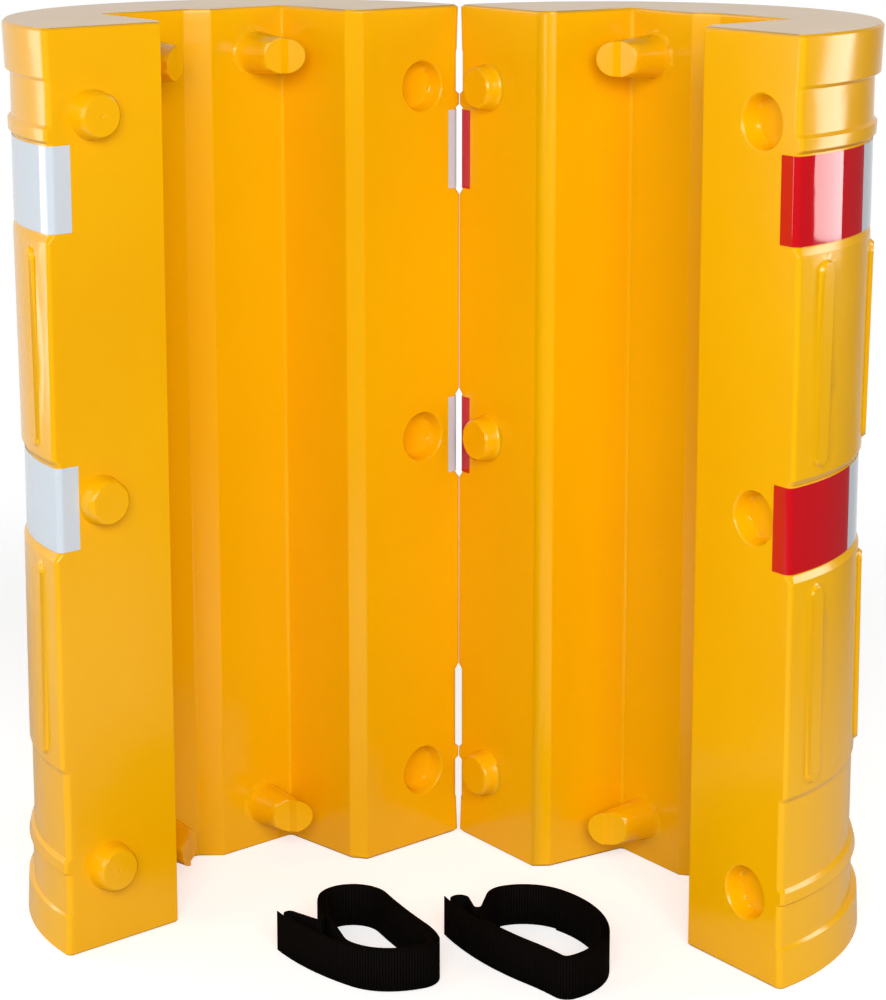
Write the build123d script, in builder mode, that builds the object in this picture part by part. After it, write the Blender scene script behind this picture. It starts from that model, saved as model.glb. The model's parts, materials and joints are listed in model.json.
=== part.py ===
# Column protector: two hollow half shells that close round a column, reflective tape and two webbing straps.
# Frame: the left half's column axis stands on the floor at the origin, +Z up, +X to the touching back edge,
# +Y into the left half. Millimetres.
import math
import os

from build123d import *

os.makedirs("parts", exist_ok=True)

# Driving sizes
height = 1100.0
outer_radius = 308.0
wall = 4.0
tape_width = 100.0
strap_width = 50.0
opening_angle = 85.9

# Belts of the outside, measured up and down from a line a little under mid-height
middle = height / 2
belt_line = middle - 4.0
rim_height = 55.5
ridge_height = 21.0
recess_width = tape_width + 4.5
groove_width = strap_width + 3.5
rim_foot = height - belt_line - rim_height
ridge_top = rim_foot - groove_width
ridge_foot = ridge_top - ridge_height
panel_top = ridge_foot - recess_width
panel_foot = recess_width / 2

# Half width of each belt at the mating plane, and how far the centre of its arc lies back from that plane: the
# rims are true half rounds, and the belts grow flatter towards mid-height
rim_half = outer_radius - 2.0
groove_half = outer_radius - 3.1
ridge_half = outer_radius + 1.2
panel_half = outer_radius + 1.7
recess_half = outer_radius - 3.1
upper_back = {"panel": 16.0, "recess": 10.0, "groove": 9.0}
lower_back = {"panel": 19.0, "recess": 15.0, "groove": 10.0}
panel_foot_back = 21.0
middle_back = 19.0
core_corner = 7.0
panel_corner = 5.0
belt_slope = 7.0
ridge_slope = 4.0
rim_slope = 4.0
edge_bevel = 3.0

# The halves stand open with their panel belts' back corners almost touching
touch_gap = 0.4
contact_radius = math.hypot(panel_half, upper_back["panel"])
contact_depth = panel_corner + upper_back["panel"]
corner_reach = math.sqrt((contact_radius - panel_corner) ** 2 - contact_depth**2)
half_opening = math.radians(opening_angle / 2)
hinge_reach = corner_reach + panel_corner * math.tan(half_opening / 2)
hinge_reach += touch_gap / 2 / math.sin(half_opening)

# Upright ribs on the panel belts
rib_count = 6
rib_first = 12.3
rib_width = 27.0
rib_rise = 4.5
rib_margin = 8.0
rib_draft = 40.0
rib_root = 4.0

# Hollow inside
void_corner = 8.0
void_back = 22.0
void_end_back = 10.0

# Column bay: half widths at the mouth, behind the chamfer and at the back, and the two back walls
bay_mouth = 150.5
bay_throat = 136.6
bay_back = 126.5
chamfer_depth = 19.5
shallow_depth = 132.5
deep_depth = 154.0
step_near = 16.5
step_far = -9.0
bay_rounding = 4.0

# Pegs and sockets on the mating faces
peg_inset = 62.0
peg_margin = 100.0
peg_reach = outer_radius - peg_inset
peg_heights = (peg_margin, middle, height - peg_margin)
peg_base = 30.0
peg_tip = 26.0
peg_length = 22.0
peg_bevel = 2.5
peg_root = 1.0
peg_clearance = 1.2
socket_depth = peg_length + peg_clearance
socket_lip = 2.0
dimple_radius = 2.5
dimple_depth = 2.5

# Spacer bosses on the back wall, with a stepped end that faces the column
boss_reach = 83.0
boss_margin = 57.0
boss_tip = 21.5
boss_tip_depth = 68.0
boss_draft = 5.2
collar_radius = 34.5
collar_crown = 30.0
collar_rise = 3.5
boss_end = ((50.0, 86.5), (80.0, 74.2), (84.0, 64.5), (116.0, 47.8))

# Reflective tape: its gap to the shell and between blocks, the angle that one block takes, how far round the
# front block reaches from the mating face, and how far each end wraps on to that face
tape_thickness = 0.5
tape_seat = 0.3
tape_gap = 0.15
tape_blocks = 5
tape_lap = 37.0
left_front_angle = 35.0
right_front_angle = 29.5
left_front_wrap = 28.0
left_back_wrap = 17.0
right_front_wrap = 25.5
right_back_wrap = 21.0
tape_bands = {
    "upper": (belt_line + panel_top + recess_width / 2, upper_back["recess"]),
    "middle": (belt_line, middle_back),
}

# Webbing straps, standing on edge on the floor
strap_thickness = 1.6
strap_pitch = 3.2

# Each coil's outer lap, as arcs of (radius, turn in degrees) and straights of (length, 0), from the free tip:
# near wall, then round the far side, then the pinched small loop that brings the webbing back inside the wall
left_tip = (-106.1, -143.8)
left_heading = -100.0
left_wall = [(343.0, 22.8), (73.0, 38.1), (102.0, 23.2)]
left_round = [(29.0, 78.4), (121.0, 18.4), (900.0, -6.6), (45.0, 78.0), (39.0, 72.0), (130.0, 23.0)]
left_loop = [(9.6, 0), (6.0, -146.0), (35.4, 0), (6.5, 160.9), (339.8, 20.6)]
left_turn_in = [(72.7, 0), (40.0, 28.7)]
right_tip = (73.8, -240.5)
right_heading = -108.1
right_wall = [(410.0, 23.6), (323.0, -8.5)]
right_round = [(17.0, 82.6), (88.0, 50.7), (148.0, 57.6), (70.0, 62.0), (32.0, 58.0)]
right_loop = [(37.3, 0), (5.0, -156.0), (24.9, 0), (11.0, 192.0), (406.8, 21.6)]
right_turn_in = [(60.65, 0), (30.0, 46.3)]
inner_laps = 2


def half_plan(level, half_width, corner, back, face=0.0):
    # One half's plan: a disc whose centre lies back from the mating plane, cut off at the face
    with BuildSketch(Plane.XY.offset(level)) as plan:
        with Locations((0, -back)):
            Circle(math.hypot(half_width, back))
        with Locations((0, face)):
            Rectangle(3 * half_width, 2 * half_width, align=(Align.CENTER, Align.MIN), mode=Mode.INTERSECT)
        fillet(plan.vertices(), corner)
    return plan.sketch


def bay_plan(level, grow=0.0):
    # The bay's plan: mouth, chamfers, drafted sides and the stepped back wall
    with BuildSketch(Plane.XY.offset(level)) as plan:
        with BuildLine():
            Polyline(
                (-bay_mouth, 0),
                (-bay_throat, chamfer_depth),
                (-bay_back, deep_depth),
                (step_far, deep_depth),
                (step_near, shallow_depth),
                (bay_back, shallow_depth),
                (bay_throat, chamfer_depth),
                (bay_mouth, 0),
                close=True,
            )
        make_face()
        fillet(plan.vertices().group_by(Axis.Y)[1:], bay_rounding)
        if grow:
            offset(amount=grow)
    return plan.sketch


def turned(x, level, outline, mode):
    # A round form about a horizontal axis: the outline holds (radius, depth) points, tip first
    with BuildSketch(Plane((x, 0, level))) as profile:
        with BuildLine():
            Polyline((0, outline[0][1]), *outline, (0, outline[-1][1]), close=True)
        make_face()
    revolve(profile.sketch, axis=Axis((x, 0, level), (0, 1, 0)), mode=mode)


def boss_radius(depth):
    return boss_tip + (depth - boss_tip_depth) * math.tan(math.radians(boss_draft))


def boss(side, back):
    # One spacer boss about Z = 0 with a collar at its root, its end cut to two tilted steps
    crown = back - collar_rise
    end = [(side * x, depth) for x, depth in boss_end]
    tip_depth = boss_end[-1][1]
    outline = (
        (boss_radius(tip_depth), tip_depth),
        (boss_radius(crown), crown),
        (collar_crown, crown),
        (collar_radius, back),
        (collar_radius, back + wall / 2),
    )
    with BuildPart() as form:
        turned(side * boss_reach, 0, outline, Mode.ADD)
        with BuildSketch(Plane.XY.offset(-2 * boss_tip)):
            with BuildLine():
                Polyline(*end, (end[-1][0], 2 * back), (end[0][0], 2 * back), close=True)
            make_face()
        extrude(amount=4 * boss_tip, mode=Mode.INTERSECT)
    return form


def belt_plans(up, back, end):
    # The plans from the middle recess out to one end, up giving the direction
    rows = (
        (panel_foot, recess_half, core_corner, middle_back),
        (panel_foot + belt_slope, panel_half, panel_corner, panel_foot_back),
        (panel_top - belt_slope, panel_half, panel_corner, back["panel"]),
        (panel_top, recess_half, core_corner, back["recess"]),
        (ridge_foot, recess_half, core_corner, back["recess"]),
        (ridge_foot + ridge_slope, ridge_half, panel_corner, back["recess"]),
        (ridge_top - ridge_slope, ridge_half, panel_corner, back["groove"]),
        (ridge_top, groove_half, core_corner, back["groove"]),
        (rim_foot - rim_slope, groove_half, core_corner, back["groove"]),
        (rim_foot, rim_half, core_corner, 0),
    )
    plans = [half_plan(belt_line + up * rise, width, corner, centre) for rise, width, corner, centre in rows]
    plans.append(half_plan(end - up * edge_bevel, outer_radius, core_corner, 0))
    plans.append(half_plan(end, outer_radius - edge_bevel, core_corner, 0, edge_bevel))
    return plans


upper_plans = belt_plans(1, upper_back, height)
lower_plans = belt_plans(-1, lower_back, 0)
with BuildPart() as body:
    loft(lower_plans[::-1] + upper_plans, ruled=True)


def rib(back):
    # One upright rib of a panel belt, leaning with the panel, above the belt line
    rise = (panel_top + panel_foot) / 2
    centre = (panel_foot_back + back) / 2
    radius = math.hypot(panel_half, centre)
    lean = (panel_foot_back - back) / 2 / rise
    seat = Plane((radius - rib_root, 0, rise), x_dir=(0, 1, 0), z_dir=(1, 0, -lean))
    length = panel_top - panel_foot - 2 * (belt_slope + rib_margin)
    with BuildPart() as form:
        with BuildSketch(seat):
            SlotOverall(length, rib_width, rotation=90)
        extrude(amount=rib_root)
        extrude(form.faces().sort_by(Axis.X)[-1], amount=rib_rise, taper=rib_draft)
    return form, centre


with BuildPart() as bay:
    extrude(bay_plan(0), amount=height)
    extrude(bay_plan(height - edge_bevel), amount=edge_bevel, taper=-45)
    mirror(about=Plane.XY.offset(middle))

bosses = [boss(1, shallow_depth), boss(-1, deep_depth)]


def shell_void(socket_side):
    # The space inside the moulding, one wall thickness in from the grooves, the bay, the sockets and the ends
    housing = peg_base + peg_clearance + wall
    inside = groove_half - wall
    with BuildPart() as void:
        ends = [half_plan(z, inside, void_corner, void_end_back, wall) for z in (wall, height - wall)]
        waist = half_plan(middle, inside, void_corner, void_back, wall)
        loft([ends[0], waist, ends[1]], ruled=True)
        extrude(bay_plan(0, wall), amount=height, mode=Mode.SUBTRACT)
        for level in peg_heights:
            block = ((housing, 0), (housing, socket_depth + wall))
            turned(socket_side * peg_reach, level, block, Mode.SUBTRACT)
    return void


def half_shell(peg_side, dimpled_pegs):
    # One half about its own axis; the pegs stand on the side that peg_side gives, the sockets on the other
    void = shell_void(-peg_side)
    with BuildPart() as shell:
        add(body.part)
        for up, back in ((1, upper_back["panel"]), (-1, lower_back["panel"])):
            form, centre = rib(back)
            bar = form.part if up > 0 else form.part.mirror(Plane.XY)
            with Locations((0, -centre, belt_line)):
                with PolarLocations(0, rib_count, rib_first, 180 - 2 * rib_first, endpoint=True):
                    add(bar)
        add(bay.part, mode=Mode.SUBTRACT)
        for form in bosses:
            with Locations((0, 0, boss_margin), (0, 0, height - boss_margin)):
                add(form.part)
        for level in peg_heights:
            peg = (
                (peg_tip - peg_bevel, -peg_length),
                (peg_tip, peg_bevel - peg_length),
                (peg_base, 0),
                (peg_base, peg_root),
            )
            turned(peg_side * peg_reach, level, peg, Mode.ADD)
            mouth = peg_base + peg_clearance
            socket = (
                (mouth + 2 * socket_lip, -socket_lip),
                (mouth, socket_lip),
                (peg_tip + peg_clearance, socket_depth),
            )
            turned(-peg_side * peg_reach, level, socket, Mode.SUBTRACT)
        add(void.part, mode=Mode.SUBTRACT)
        dimple = ((dimple_radius, -peg_length - dimple_depth), (dimple_radius, dimple_depth - peg_length))
        for level in dimpled_pegs:
            turned(peg_side * peg_reach, level, dimple, Mode.SUBTRACT)
    return shell


def open_out(shape):
    # The right half: mirrored across the mating plane, then swung open about the touching back edge
    return shape.mirror(Plane.XZ).rotate(Axis((hinge_reach, 0, 0), (0, 0, 1)), opening_angle)


def tape_plan(block, back, front_angle, front_wrap, back_wrap):
    # One block of the strip in a recess, block 0 at the back; the end blocks reach round on to the mating face
    base = half_plan(0, recess_half, core_corner, back)
    radius = math.hypot(recess_half, back)
    slack = math.degrees(tape_gap / radius)
    low = 180 - front_angle - (tape_blocks - 1 - block) * tape_lap + slack / 2
    sides = [math.radians(low), math.radians(low + tape_lap - slack)]
    near, far = [
        [(reach * math.cos(a), reach * math.sin(a) - back) for a in sides] for reach in (radius / 2, 2 * radius)
    ]
    edge = [near[0], far[0], far[1], near[1]]
    if block == 0:
        end = recess_half - back_wrap
        edge = [near[1], (end, core_corner), (end, -core_corner), (2 * radius, -core_corner), far[1]]
    elif block == tape_blocks - 1:
        end = front_wrap - recess_half
        edge = [near[0], (end, core_corner), (end, -core_corner), (-2 * radius, -core_corner), far[0]]
    with BuildSketch() as plan:
        add(base)
        offset(amount=tape_seat + tape_thickness, mode=Mode.REPLACE)
        offset(base, amount=tape_seat, mode=Mode.SUBTRACT)
        with BuildLine():
            Polyline(*edge, close=True)
        make_face(mode=Mode.INTERSECT)
    return plan.sketch


def lap_in(moves, lap):
    # The same arcs, further in by a number of pitches
    return [(r if turn == 0 else r - math.copysign(lap * strap_pitch, turn), turn) for r, turn in moves]


def coil(wall_arcs, round_arcs, loop, turn_in, landing, last):
    # All the moves of one strap: the outer lap with its small loop, then inner laps, each a pitch further in
    moves = wall_arcs + round_arcs + loop + lap_in(wall_arcs[1:] + round_arcs, 1)
    ahead = wall_arcs[landing + 1:] + round_arcs
    landing_turn = 360 - sum(turn for _, turn in ahead + turn_in)
    for lap in range(1, inner_laps + 1):
        rest = wall_arcs[landing + 1:] + (round_arcs if lap < inner_laps else round_arcs[:last])
        moves = moves + lap_in(turn_in, lap) + lap_in([(wall_arcs[landing][0], landing_turn)] + rest, lap + 1)
    return moves


def webbing_plan(tip, heading, moves):
    # Both faces of the webbing are the same chain of arcs, half a thickness to either side of its middle
    with BuildSketch() as plan:
        with BuildLine():
            ends = []
            for side in (strap_thickness / 2, -strap_thickness / 2):
                point = Vector(*tip) + Vector(0, side).rotate(Axis.Z, heading)
                first = point
                direction = heading
                for radius, turn in moves:
                    if turn:
                        along = Vector(1, 0).rotate(Axis.Z, direction)
                        piece = JernArc(point, along, radius - side * math.copysign(1, turn), turn)
                    else:
                        piece = PolarLine(point, radius, direction)
                    point = piece @ 1
                    direction += turn
                ends.append((first, point))
            Line(ends[0][0], ends[1][0])
            Line(ends[0][1], ends[1][1])
        make_face()
    return plan.sketch


left_shell = half_shell(-1, (peg_heights[0], peg_heights[-1]))
left_shell.part.label = "left_shell"
export_step(left_shell.part, "parts/left_shell.step")

right_half = half_shell(1, ())
with BuildPart() as right_shell:
    add(open_out(right_half.part))
right_shell.part.label = "right_shell"
export_step(right_shell.part, "parts/right_shell.step")

for band, (level, back) in tape_bands.items():
    for block in range(tape_blocks):
        with BuildPart() as left_tape:
            foot = Location((0, 0, level - tape_width / 2))
            left_plan = tape_plan(block, back, left_front_angle, left_front_wrap, left_back_wrap)
            extrude(left_plan.moved(foot), amount=tape_width)
        left_tape.part.label = f"left_{band}_tape_{block + 1}"
        export_step(left_tape.part, f"parts/{left_tape.part.label}.step")
        with BuildPart() as right_tape:
            right_plan = tape_plan(block, back, right_front_angle, right_front_wrap, right_back_wrap)
            add(open_out(extrude(right_plan.moved(foot), amount=tape_width, mode=Mode.PRIVATE)))
        right_tape.part.label = f"right_{band}_tape_{block + 1}"
        export_step(right_tape.part, f"parts/{right_tape.part.label}.step")

left_route = coil(left_wall, left_round, left_loop, left_turn_in, 1, 6)
right_route = coil(right_wall, right_round, right_loop, right_turn_in, 0, 3)

with BuildPart() as left_strap:
    extrude(webbing_plan(left_tip, left_heading, left_route), amount=strap_width)
left_strap.part.label = "left_strap"
export_step(left_strap.part, "parts/left_strap.step")

with BuildPart() as right_strap:
    extrude(webbing_plan(right_tip, right_heading, right_route), amount=strap_width)
right_strap.part.label = "right_strap"
export_step(right_strap.part, "parts/right_strap.step")

for made in (left_shell, right_shell, left_strap, right_strap):
    print(made.part.label, "volume", round(made.part.volume / 1e6, 3), "litres, valid", made.part.is_valid)
for made in (left_strap, right_strap):
    print(made.part.label, "length", round(made.part.volume / strap_width / strap_thickness), "mm")
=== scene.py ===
import json
import math
import bpy
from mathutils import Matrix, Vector

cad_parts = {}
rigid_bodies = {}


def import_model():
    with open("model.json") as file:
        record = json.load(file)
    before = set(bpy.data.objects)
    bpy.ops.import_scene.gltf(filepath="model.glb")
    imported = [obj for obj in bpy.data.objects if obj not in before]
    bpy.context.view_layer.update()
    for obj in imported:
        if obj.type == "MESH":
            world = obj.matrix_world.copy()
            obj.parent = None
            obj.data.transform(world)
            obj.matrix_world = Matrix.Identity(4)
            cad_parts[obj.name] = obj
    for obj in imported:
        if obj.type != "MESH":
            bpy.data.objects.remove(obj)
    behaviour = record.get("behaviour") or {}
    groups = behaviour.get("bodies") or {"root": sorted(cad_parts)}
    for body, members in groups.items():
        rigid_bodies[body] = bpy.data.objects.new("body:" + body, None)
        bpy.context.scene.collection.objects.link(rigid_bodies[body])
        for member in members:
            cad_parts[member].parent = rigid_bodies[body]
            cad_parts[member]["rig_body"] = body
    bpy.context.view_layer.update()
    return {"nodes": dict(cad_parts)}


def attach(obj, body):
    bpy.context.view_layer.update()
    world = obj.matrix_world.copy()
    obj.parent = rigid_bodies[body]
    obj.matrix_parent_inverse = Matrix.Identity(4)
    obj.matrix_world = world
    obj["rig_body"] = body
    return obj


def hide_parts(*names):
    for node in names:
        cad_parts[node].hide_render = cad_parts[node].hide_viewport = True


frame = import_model()
scene = bpy.context.scene
scene.view_settings.view_transform = "Standard"


# Camera: stands where the photograph was taken from, with the lens axis above the middle of the frame
cameraView = {
    "place": (-1.8747, -2.4944, 1.3218),
    "heading": (0.6536, 0.7569),
    "pitchDown": 10.58,
    "lens": 94.164,
    "sensor": 36.0,
    "shiftUp": -0.1861,
    "clipEnd": 60.0,
}


def addCamera(view):
    data = bpy.data.cameras.new("photoCamera")
    data.lens = view["lens"]
    data.sensor_width = view["sensor"]
    data.shift_y = view["shiftUp"]
    data.clip_end = view["clipEnd"]
    camera = bpy.data.objects.new("photoCamera", data)
    scene.collection.objects.link(camera)
    dip = math.radians(view["pitchDown"])
    ahead = Vector((view["heading"][0], view["heading"][1], -math.tan(dip)))
    camera.location = view["place"]
    camera.rotation_euler = ahead.to_track_quat("-Z", "Y").to_euler()
    scene.camera = camera


addCamera(cameraView)


# Node helpers
def newMaterial(name):
    material = bpy.data.materials.new(name)
    material.use_nodes = True
    tree = material.node_tree
    shader = tree.nodes["Principled BSDF"]
    coords = tree.nodes.new("ShaderNodeTexCoord")
    return material, tree, shader, coords


def addNoise(tree, vector, scale, detail=2.0, roughness=0.5):
    noise = tree.nodes.new("ShaderNodeTexNoise")
    noise.inputs["Scale"].default_value = scale
    noise.inputs["Detail"].default_value = detail
    noise.inputs["Roughness"].default_value = roughness
    tree.links.new(vector, noise.inputs["Vector"])
    return noise.outputs["Fac"]


def addRamp(tree, value, stops):
    ramp = tree.nodes.new("ShaderNodeValToRGB")
    elements = ramp.color_ramp.elements
    while len(elements) < len(stops):
        elements.new(0.5)
    for element, (place, colour) in zip(elements, stops):
        element.position = place
        element.color = (*colour, 1.0)
    tree.links.new(value, ramp.inputs["Fac"])
    return ramp.outputs["Color"]


def addRange(tree, value, low, high):
    spread = tree.nodes.new("ShaderNodeMapRange")
    spread.inputs["To Min"].default_value = low
    spread.inputs["To Max"].default_value = high
    tree.links.new(value, spread.inputs["Value"])
    return spread.outputs["Result"]


def addMath(tree, operation, first, second=None):
    node = tree.nodes.new("ShaderNodeMath")
    node.operation = operation
    for socket, value in zip(node.inputs, (first, second)):
        if value is None:
            continue
        if isinstance(value, (int, float)):
            socket.default_value = value
        else:
            tree.links.new(value, socket)
    return node.outputs[0]


def addBump(tree, height, strength, distance, below=None):
    bump = tree.nodes.new("ShaderNodeBump")
    bump.inputs["Strength"].default_value = strength
    bump.inputs["Distance"].default_value = distance
    tree.links.new(height, bump.inputs["Height"])
    if below is not None:
        tree.links.new(below, bump.inputs["Normal"])
    return bump.outputs["Normal"]


def bakeModifiers(piece):
    depsgraph = bpy.context.evaluated_depsgraph_get()
    mesh = bpy.data.meshes.new_from_object(piece.evaluated_get(depsgraph))
    piece.modifiers.clear()
    piece.data = mesh


# Moulded polyethylene: a warm yellow that drifts a little, with a soft gloss, faint ripple and fine grain;
# ripple and grain are (scale, strength, distance)
mouldedPlastic = {
    "yellow": (0.930, 0.474, 0.0003),
    "warm": (0.911, 0.449, 0.0003),
    "driftScale": 3.5,
    "driftEdge": (0.35, 0.65),
    "gloss": (0.14, 0.21),
    "glossScale": 14.0,
    "ior": 1.5,
    "edgeRadius": 0.0013,
    "ripple": (26.0, 0.10, 0.004),
    "grain": (900.0, 0.05, 0.0002),
}


def makeMouldedPlastic(look):
    material, tree, shader, coords = newMaterial("mouldedYellow")
    place = coords.outputs["Object"]
    drift = addNoise(tree, place, look["driftScale"], 3.0)
    colour = addRamp(tree, drift, list(zip(look["driftEdge"], (look["warm"], look["yellow"]))))
    tree.links.new(colour, shader.inputs["Base Color"])
    polish = addNoise(tree, place, look["glossScale"], 4.0)
    tree.links.new(addRange(tree, polish, *look["gloss"]), shader.inputs["Roughness"])
    ease = tree.nodes.new("ShaderNodeAttribute")
    ease.attribute_name = "edgeEase"
    radius = addMath(tree, "MULTIPLY", ease.outputs["Fac"], look["edgeRadius"])
    eased = tree.nodes.new("ShaderNodeBevel")
    tree.links.new(radius, eased.inputs["Radius"])
    scale, strength, distance = look["ripple"]
    waves = addNoise(tree, place, scale, 1.0)
    ripple = addBump(tree, waves, strength, distance, eased.outputs["Normal"])
    scale, strength, distance = look["grain"]
    grain = addBump(tree, addNoise(tree, place, scale, 2.0), strength, distance, ripple)
    tree.links.new(grain, shader.inputs["Normal"])
    shader.inputs["IOR"].default_value = look["ior"]
    return material


# Reflective tape: a clear glossy face over fine beads
tapeLook = {
    "red": (0.620, 0.004, 0.010),
    "redDeep": (0.560, 0.003, 0.008),
    "white": (0.650, 0.720, 0.790),
    "whiteDeep": (0.600, 0.665, 0.735),
    "beadScale": 1400.0,
    "beadEdge": (0.3, 0.7),
    "smearScale": 30.0,
    "gloss": (0.03, 0.07),
    "ripple": (40.0, 0.04, 0.002),
    "coat": 0.15,
    "coatGloss": 0.04,
}


def makeTape(name, light, deep, look):
    material, tree, shader, coords = newMaterial(name)
    place = coords.outputs["Object"]
    beads = addNoise(tree, place, look["beadScale"], 1.0)
    colour = addRamp(tree, beads, list(zip(look["beadEdge"], (deep, light))))
    tree.links.new(colour, shader.inputs["Base Color"])
    smear = addNoise(tree, place, look["smearScale"], 3.0)
    tree.links.new(addRange(tree, smear, *look["gloss"]), shader.inputs["Roughness"])
    scale, strength, distance = look["ripple"]
    ripple = addBump(tree, addNoise(tree, place, scale, 1.0), strength, distance)
    tree.links.new(ripple, shader.inputs["Normal"])
    shader.inputs["Coat Weight"].default_value = look["coat"]
    shader.inputs["Coat Roughness"].default_value = look["coatGloss"]
    return material


# Webbing: black yarn with a painted highlight along the crown of each rib, and fine threads across it
webbingLook = {
    "yarn": (0.0014, 0.0010, 0.0009),
    # crown: painted highlight colour that the yarn lightens to along each rib crown
    "crown": (0.0056, 0.0044, 0.0038),
    "crownHighlightFrom": 0.25,
    "threads": (700.0, 0.35, 0.0003),
    "gloss": (0.60, 0.75),
    "sparkle": 0.01,
}


def makeWebbing(look):
    material, tree, shader, coords = newMaterial("webbingBlack")
    place = coords.outputs["Object"]
    rib = tree.nodes.new("ShaderNodeAttribute")
    rib.attribute_name = "ribCrown"
    # painted highlight: the colour rises from the yarn colour to the lighter crown colour along each rib's
    # crown
    stops = [(look["crownHighlightFrom"], look["yarn"]), (1.0, look["crown"])]
    colour = addRamp(tree, rib.outputs["Fac"], stops)
    tree.links.new(colour, shader.inputs["Base Color"])
    scale, strength, distance = look["threads"]
    threads = addNoise(tree, place, scale, 2.0, 0.7)
    tree.links.new(addRange(tree, threads, *look["gloss"]), shader.inputs["Roughness"])
    tree.links.new(addBump(tree, threads, strength, distance), shader.inputs["Normal"])
    shader.inputs["Specular IOR Level"].default_value = look["sparkle"]
    return material


plasticMaterial = makeMouldedPlastic(mouldedPlastic)
redMaterial = makeTape("tapeRed", tapeLook["red"], tapeLook["redDeep"], tapeLook)
whiteMaterial = makeTape("tapeWhite", tapeLook["white"], tapeLook["whiteDeep"], tapeLook)
webbingMaterial = makeWebbing(webbingLook)
print("materials made")


# Shells and tape keep the frame's own shape: a merged copy whose flats stay flat and whose edges shade round
shellShade = {
    "mergeWithin": 0.00001,
    "sharpFrom": 24.0,  # degrees between two faces
    "beltFrom": 5.0,  # degrees, along the belts on the outside
    "beltReach": 0.285,  # the outside starts this far from a half's axis
    "axis": {"left": (0.0, 0.0), "right": (0.2847, -0.3059)},
    "levelRise": 0.1,
    "flatWithin": 0.1,  # degrees between the faces of one flat
    "flatFaces": 6,
    "flatArea": 0.0002,
    "smallFace": 0.0004,
    "softEase": 2.0,  # times the material's edgeRadius
}


def facesAtEdges(mesh):
    touching = {}
    for polygon in mesh.polygons:
        for key in polygon.edge_keys:
            touching.setdefault(key, []).append(polygon)
    return touching


def isLevel(mesh, key, shade):
    run = mesh.vertices[key[1]].co - mesh.vertices[key[0]].co
    return abs(run.z) < shade["levelRise"] * run.length


def isOuter(mesh, key, axis, shade):
    reach = min((mesh.vertices[vertex].co.xy - Vector(axis)).length for vertex in key)
    return reach > shade["beltReach"]


def markBelts(mesh, axis, shade):
    level = math.cos(math.radians(shade["beltFrom"]))
    touching = facesAtEdges(mesh)
    for edge in mesh.edges:
        faces = touching[edge.key]
        isBent = faces[0].normal.dot(faces[-1].normal) < level
        if isBent and isLevel(mesh, edge.key, shade) and isOuter(mesh, edge.key, axis, shade):
            edge.use_edge_sharp = True


def easeEdges(mesh, axis, shade):
    ease = [1.0] * len(mesh.vertices)
    crisp = set()  # round the floors of the sockets
    steep = math.cos(math.radians(shade["sharpFrom"]))
    for key, (first, *_, second) in facesAtEdges(mesh).items():
        if first.normal.dot(second.normal) > steep:
            continue
        smaller, larger = sorted((first.area, second.area))
        isHollow = (second.center - first.center).dot(first.normal) > 0
        isOutside = isOuter(mesh, key, axis, shade)
        isUpright = isOutside and not isLevel(mesh, key, shade)
        isDetail = not isOutside and smaller < shade["smallFace"]
        if isHollow and larger < shade["smallFace"]:
            crisp.update(key)
        elif not isHollow and (isUpright or isDetail):
            for vertex in key:
                ease[vertex] = shade["softEase"]
    for vertex in crisp:
        ease[vertex] = 0.0
    mesh.attributes.new("edgeEase", "FLOAT", "POINT").data.foreach_set("value", ease)


def flatNormals(mesh, shade):
    level = math.cos(math.radians(shade["flatWithin"]))
    owner = list(range(len(mesh.polygons)))

    def leader(face):
        while owner[face] != face:
            owner[face] = owner[owner[face]]
            face = owner[face]
        return face

    for faces in facesAtEdges(mesh).values():
        for first, second in zip(faces, faces[1:]):
            if first.normal.dot(second.normal) > level:
                owner[leader(second.index)] = leader(first.index)
    groups = {}
    for polygon in mesh.polygons:
        groups.setdefault(leader(polygon.index), []).append(polygon)
    flats = {}  # face to the normal of the flat it lies in
    corners = {}  # vertex to the planes of the flats it lies on
    for group in groups.values():
        if len(group) < shade["flatFaces"] or sum(face.area for face in group) < shade["flatArea"]:
            continue
        normal = sum((face.normal * face.area for face in group), Vector()).normalized()
        plane = (normal.to_tuple(6), round(normal.dot(group[0].center), 4))
        for face in group:
            flats[face.index] = normal
            for vertex in face.vertices:
                corners.setdefault(vertex, set()).add(plane)
    return flats, corners


def settleNormals(mesh, shade):
    flats, corners = flatNormals(mesh, shade)
    near = math.cos(math.radians(shade["sharpFrom"]))
    normals = [Vector(corner.vector) for corner in mesh.corner_normals]
    for polygon in mesh.polygons:
        if polygon.index in flats:
            for loop in polygon.loop_indices:
                normals[loop] = flats[polygon.index]
            continue
        shared = set.intersection(*(corners.get(vertex, set()) for vertex in polygon.vertices))
        for loop in polygon.loop_indices:
            for flat, _ in shared or corners.get(mesh.loops[loop].vertex_index, ()):
                if shared or Vector(flat).dot(normals[loop]) > near:
                    normals[loop] = Vector(flat)
    mesh.normals_split_custom_set(normals)


def smoothCopy(side, nodeName, pieceName, material, shade):
    node = frame["nodes"][nodeName]
    mesh = node.data.copy()
    mesh.name = pieceName
    piece = bpy.data.objects.new(pieceName, mesh)
    scene.collection.objects.link(piece)
    weld = piece.modifiers.new("weld", "WELD")
    weld.merge_threshold = shade["mergeWithin"]
    bakeModifiers(piece)
    piece.data.shade_smooth()
    piece.data.set_sharp_from_angle(angle=math.radians(shade["sharpFrom"]))
    markBelts(piece.data, shade["axis"][side], shade)
    weighted = piece.modifiers.new("weighted", "WEIGHTED_NORMAL")
    weighted.keep_sharp = True
    bakeModifiers(piece)
    settleNormals(piece.data, shade)
    easeEdges(piece.data, shade["axis"][side], shade)
    piece.data.materials.clear()
    piece.data.materials.append(material)
    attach(piece, node["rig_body"])
    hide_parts(nodeName)
    return piece


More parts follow.
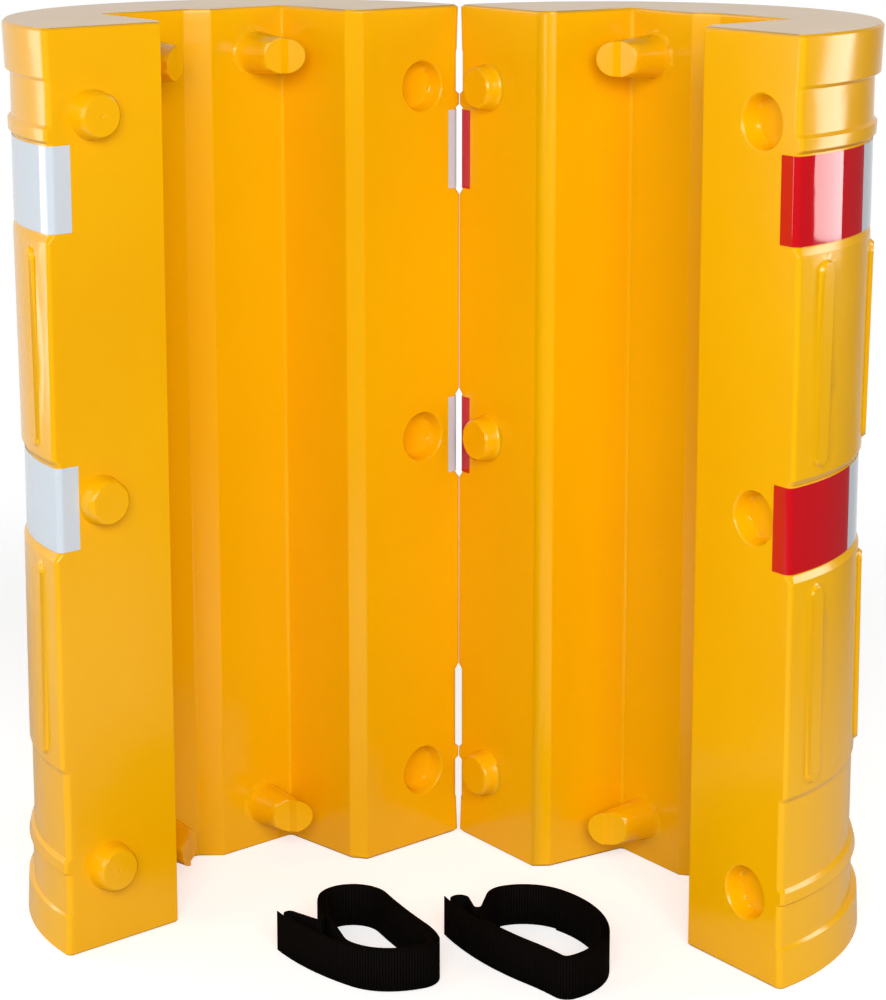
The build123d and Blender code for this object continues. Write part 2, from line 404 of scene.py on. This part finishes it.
for side in ("left", "right"):
    smoothCopy(side, side + "_shell", side + "HalfShell", plasticMaterial, shellShade)
    for band in ("upper", "middle"):
        for block in range(1, 6):
            isWhite = (block % 2 == 1) == (side == "left")
            material = whiteMaterial if isWhite else redMaterial
            nodeName = "%s_%s_tape_%d" % (side, band, block)
            pieceName = "%s%sTape%d" % (side, band.capitalize(), block)
            smoothCopy(side, nodeName, pieceName, material, shellShade)
print("shells and tape placed")


# Webbing straps: each coil is a chain from its free tip, of arcs (radius, turn in degrees)
# and straights (length, 0)
webbing = {
    "width": 0.050,
    "thickness": 0.0013,
    "pitch": 0.0032,
    "laps": 2,
    "ribPitch": 0.0034,
    "ribRelief": 0.00045,
    "edgeRound": 0.0005,
    "stepTurn": 2.0,
}
leftCoil = {
    "tip": (-0.1061, -0.1438),
    "heading": -100.0,
    "wall": [(0.343, 22.8), (0.073, 38.1), (0.102, 23.2)],
    "round": [(0.029, 78.4), (0.121, 18.4), (0.9, -6.6), (0.045, 78.0), (0.039, 72.0), (0.130, 23.0)],
    "loop": [(0.0096, 0), (0.006, -146.0), (0.0354, 0), (0.0065, 160.9), (0.3398, 20.6)],
    "turnIn": [(0.0727, 0), (0.040, 28.7)],
    "landing": 1,
    "last": 6,
}
rightCoil = {
    "tip": (0.0738, -0.2405),
    "heading": -108.1,
    "wall": [(0.410, 23.6), (0.323, -8.5)],
    "round": [(0.017, 82.6), (0.088, 50.7), (0.148, 57.6), (0.070, 62.0), (0.032, 58.0)],
    "loop": [(0.0373, 0), (0.005, -156.0), (0.0249, 0), (0.011, 192.0), (0.4068, 21.6)],
    "turnIn": [(0.06065, 0), (0.030, 46.3)],
    "landing": 0,
    "last": 3,
}


def lapIn(moves, inset):
    return [(r, turn) if turn == 0 else (r - math.copysign(inset, turn), turn) for r, turn in moves]


def coilMoves(coil, pitch, laps):
    moves = coil["wall"] + coil["round"] + coil["loop"] + lapIn(coil["wall"][1:] + coil["round"], pitch)
    ahead = coil["wall"][coil["landing"] + 1:]
    landingTurn = 360 - sum(turn for _, turn in ahead + coil["round"] + coil["turnIn"])
    landing = (coil["wall"][coil["landing"]][0], landingTurn)
    for lap in range(1, laps + 1):
        rest = ahead + (coil["round"] if lap < laps else coil["round"][:coil["last"]])
        moves = moves + lapIn(coil["turnIn"], lap * pitch) + lapIn([landing] + rest, (lap + 1) * pitch)
    return moves


def coilPoints(coil, look):
    place = Vector((*coil["tip"], look["width"] / 2))
    angle = math.radians(coil["heading"])
    points = [place.copy()]
    for radius, turn in coilMoves(coil, look["pitch"], look["laps"]):
        steps = max(1, math.ceil(abs(turn) / look["stepTurn"]))
        swing = math.radians(turn) / steps
        chord = radius if turn == 0 else 2 * radius * math.sin(abs(swing) / 2)
        for _ in range(steps):
            angle += swing / 2
            place = place + chord * Vector((math.cos(angle), math.sin(angle), 0))
            angle += swing / 2
            points.append(place.copy())
    return points


def makeWeaveTree():
    tree = bpy.data.node_groups.new("ribbedWebbing", "GeometryNodeTree")
    face = tree.interface
    face.new_socket("Geometry", in_out="INPUT", socket_type="NodeSocketGeometry")
    for name in ("Width", "Thickness", "Edge Round", "Rib Pitch", "Rib Relief"):
        face.new_socket(name, in_out="INPUT", socket_type="NodeSocketFloat")
    face.new_socket("Material", in_out="INPUT", socket_type="NodeSocketMaterial")
    face.new_socket("Geometry", in_out="OUTPUT", socket_type="NodeSocketGeometry")
    nodes = tree.nodes
    links = tree.links
    given = nodes.new("NodeGroupInput").outputs

    line = nodes.new("GeometryNodeMeshToCurve")
    links.new(given["Geometry"], line.inputs["Mesh"])
    spaced = nodes.new("GeometryNodeResampleCurve")
    spaced.mode = "LENGTH"
    links.new(line.outputs["Curve"], spaced.inputs["Curve"])
    step = addMath(tree, "MULTIPLY", given["Rib Pitch"], 0.25)  # four points to a rib
    links.new(step, spaced.inputs["Length"])
    upright = nodes.new("GeometryNodeSetCurveNormal")
    upright.mode = "Z_UP"
    links.new(spaced.outputs["Curve"], upright.inputs["Curve"])

    run = nodes.new("GeometryNodeSplineParameter").outputs["Length"]
    phase = addMath(tree, "FRACT", addMath(tree, "DIVIDE", run, given["Rib Pitch"]))
    swing = addMath(tree, "SUBTRACT", addMath(tree, "MULTIPLY", phase, 2.0), 1.0)
    crown = addMath(tree, "SUBTRACT", 1.0, addMath(tree, "MULTIPLY", swing, swing))
    keepCrown = nodes.new("GeometryNodeStoreNamedAttribute")
    keepCrown.inputs["Name"].default_value = "ribCrown"
    links.new(upright.outputs["Curve"], keepCrown.inputs["Geometry"])
    links.new(crown, keepCrown.inputs["Value"])

    section = nodes.new("GeometryNodeCurvePrimitiveQuadrilateral")
    links.new(given["Thickness"], section.inputs["Width"])
    links.new(given["Width"], section.inputs["Height"])
    eased = nodes.new("GeometryNodeFilletCurve")
    eased.mode = "POLY"
    eased.inputs["Count"].default_value = 1
    links.new(section.outputs["Curve"], eased.inputs["Curve"])
    links.new(given["Edge Round"], eased.inputs["Radius"])
    swept = nodes.new("GeometryNodeCurveToMesh")
    swept.inputs["Fill Caps"].default_value = True
    links.new(keepCrown.outputs["Geometry"], swept.inputs["Curve"])
    links.new(eased.outputs["Curve"], swept.inputs["Profile Curve"])

    crownOnMesh = nodes.new("GeometryNodeInputNamedAttribute")
    crownOnMesh.inputs["Name"].default_value = "ribCrown"
    swell = addMath(tree, "MULTIPLY", crownOnMesh.outputs["Attribute"], given["Rib Relief"])
    outward = nodes.new("ShaderNodeVectorMath")
    outward.operation = "SCALE"
    links.new(nodes.new("GeometryNodeInputNormal").outputs["Normal"], outward.inputs["Vector"])
    links.new(swell, outward.inputs["Scale"])
    ribbed = nodes.new("GeometryNodeSetPosition")
    links.new(swept.outputs["Mesh"], ribbed.inputs["Geometry"])
    links.new(outward.outputs["Vector"], ribbed.inputs["Offset"])

    smooth = nodes.new("GeometryNodeSetShadeSmooth")
    links.new(ribbed.outputs["Geometry"], smooth.inputs["Geometry"])
    whole = nodes.new("GeometryNodeRealizeInstances")
    links.new(smooth.outputs["Geometry"], whole.inputs["Geometry"])
    dressed = nodes.new("GeometryNodeSetMaterial")
    links.new(whole.outputs["Geometry"], dressed.inputs["Geometry"])
    links.new(given["Material"], dressed.inputs["Material"])
    links.new(dressed.outputs["Geometry"], nodes.new("NodeGroupOutput").inputs["Geometry"])
    return tree


weaveTree = makeWeaveTree()


def addStrap(pieceName, nodeName, coil, look):
    points = coilPoints(coil, look)
    mesh = bpy.data.meshes.new(pieceName)
    mesh.from_pydata(points, [(k, k + 1) for k in range(len(points) - 1)], [])
    piece = bpy.data.objects.new(pieceName, mesh)
    scene.collection.objects.link(piece)
    weave = piece.modifiers.new("weave", "NODES")
    weave.node_group = weaveTree
    values = {
        "Width": look["width"] - look["ribRelief"],
        "Thickness": look["thickness"] - look["ribRelief"],
        "Edge Round": look["edgeRound"],
        "Rib Pitch": look["ribPitch"],
        "Rib Relief": look["ribRelief"],
        "Material": webbingMaterial,
    }
    for socket in weaveTree.interface.items_tree:
        if socket.in_out == "INPUT" and socket.name in values:
            weave[socket.identifier] = values[socket.name]
    bakeModifiers(piece)
    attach(piece, frame["nodes"][nodeName]["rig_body"])
    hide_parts(nodeName)


addStrap("leftWebbing", "left_strap", leftCoil, webbing)
addStrap("rightWebbing", "right_strap", rightCoil, webbing)
print("straps coiled")


# Studio: a white floor and backdrop, a large soft box over the camera and smaller ones to the sides
studio = {
    "floorSize": 12.0,
    "floorDrop": 0.0005,
    "floorColour": (0.62, 0.62, 0.62),
    "floorRoughness": 0.9,
    "floorLift": 0.60,
    "fade": (1.0, 2.2),
    "frontLevel": 0.10,
    "backLevel": 0.80,
    "backdrop": (0.30, 0.95, 0.0),
    "backdropEdge": (0.35, 0.85),
}
softBoxes = {
    "frontBox": {"at": (-1.95, -2.85, 1.9), "aim": (0.1, -0.1, 0.6), "size": (2.6, 1.8), "power": 127.0},
    "fillBox": {"at": (-2.8, 0.2, 1.6), "aim": (-0.1, 0.0, 0.8), "size": (1.0, 1.8), "power": 16.0},
    "rightBox": {"at": (2.58, -1.66, 1.35), "aim": (0.3, -0.6, 1.0), "size": (1.0, 1.8), "power": 32.0},
    "sideBox": {"at": (-2.0, 1.4, 0.95), "aim": (-0.25, 0.1, 0.65), "size": (0.8, 1.1), "power": 9.0},
    "leftBox": {"at": (-1.25, 1.87, 1.15), "aim": (-0.3, 0.0, 0.9), "size": (0.5, 2.0), "power": 10.0},
}


def addFloor(look):
    half = look["floorSize"] / 2
    mesh = bpy.data.meshes.new("studioFloor")
    corners = [(-half, -half, 0), (half, -half, 0), (half, half, 0), (-half, half, 0)]
    mesh.from_pydata(corners, [], [(0, 1, 2, 3)])
    floor = bpy.data.objects.new("studioFloor", mesh)
    floor.location.z = -look["floorDrop"]
    scene.collection.objects.link(floor)
    material, tree, shader, coords = newMaterial("studioWhite")
    shader.inputs["Base Color"].default_value = (*look["floorColour"], 1.0)
    shader.inputs["Roughness"].default_value = look["floorRoughness"]
    shader.inputs["Specular IOR Level"].default_value = 0.0
    shader.inputs["Emission Color"].default_value = (1.0, 1.0, 1.0, 1.0)
    seen = tree.nodes.new("ShaderNodeLightPath").outputs["Is Camera Ray"]
    tree.links.new(addRange(tree, seen, 0.0, look["floorLift"]), shader.inputs["Emission Strength"])
    away = tree.nodes.new("ShaderNodeVectorMath")
    away.operation = "LENGTH"
    tree.links.new(coords.outputs["Object"], away.inputs[0])
    fade = tree.nodes.new("ShaderNodeMapRange")
    fade.interpolation_type = "SMOOTHSTEP"
    fade.inputs["From Min"].default_value, fade.inputs["From Max"].default_value = look["fade"]
    tree.links.new(away.outputs["Value"], fade.inputs["Value"])
    clear = tree.nodes.new("ShaderNodeBsdfTransparent")
    blend = tree.nodes.new("ShaderNodeMixShader")
    tree.links.new(fade.outputs["Result"], blend.inputs["Fac"])
    tree.links.new(shader.outputs["BSDF"], blend.inputs[1])
    tree.links.new(clear.outputs["BSDF"], blend.inputs[2])
    tree.links.new(blend.outputs["Shader"], tree.nodes["Material Output"].inputs["Surface"])
    mesh.materials.append(material)


def addWorld(look):
    world = bpy.data.worlds.new("studioWorld")
    world.use_nodes = True
    scene.world = world
    tree = world.node_tree
    background = tree.nodes["Background"]
    background.inputs["Color"].default_value = (1.0, 1.0, 1.0, 1.0)
    ahead = tree.nodes.new("ShaderNodeVectorMath")
    ahead.operation = "DOT_PRODUCT"
    tree.links.new(tree.nodes.new("ShaderNodeTexCoord").outputs["Generated"], ahead.inputs[0])
    ahead.inputs[1].default_value = look["backdrop"]
    level = tree.nodes.new("ShaderNodeMapRange")
    level.interpolation_type = "SMOOTHSTEP"
    level.inputs["From Min"].default_value, level.inputs["From Max"].default_value = look["backdropEdge"]
    level.inputs["To Min"].default_value = look["frontLevel"]
    level.inputs["To Max"].default_value = look["backLevel"]
    tree.links.new(ahead.outputs["Value"], level.inputs["Value"])
    seen = tree.nodes.new("ShaderNodeLightPath").outputs["Is Camera Ray"]
    white = addMath(tree, "MAXIMUM", level.outputs["Result"], seen)
    tree.links.new(white, background.inputs["Strength"])


def addBox(name, box):
    data = bpy.data.lights.new(name, "AREA")
    data.shape = "RECTANGLE"
    data.size, data.size_y = box["size"]
    data.energy = box["power"]
    lamp = bpy.data.objects.new(name, data)
    lamp.location = box["at"]
    aim = Vector(box["aim"]) - Vector(box["at"])
    lamp.rotation_euler = aim.to_track_quat("-Z", "Y").to_euler()
    scene.collection.objects.link(lamp)


addFloor(studio)
addWorld(studio)
for name, box in softBoxes.items():
    addBox(name, box)
print("studio lit")
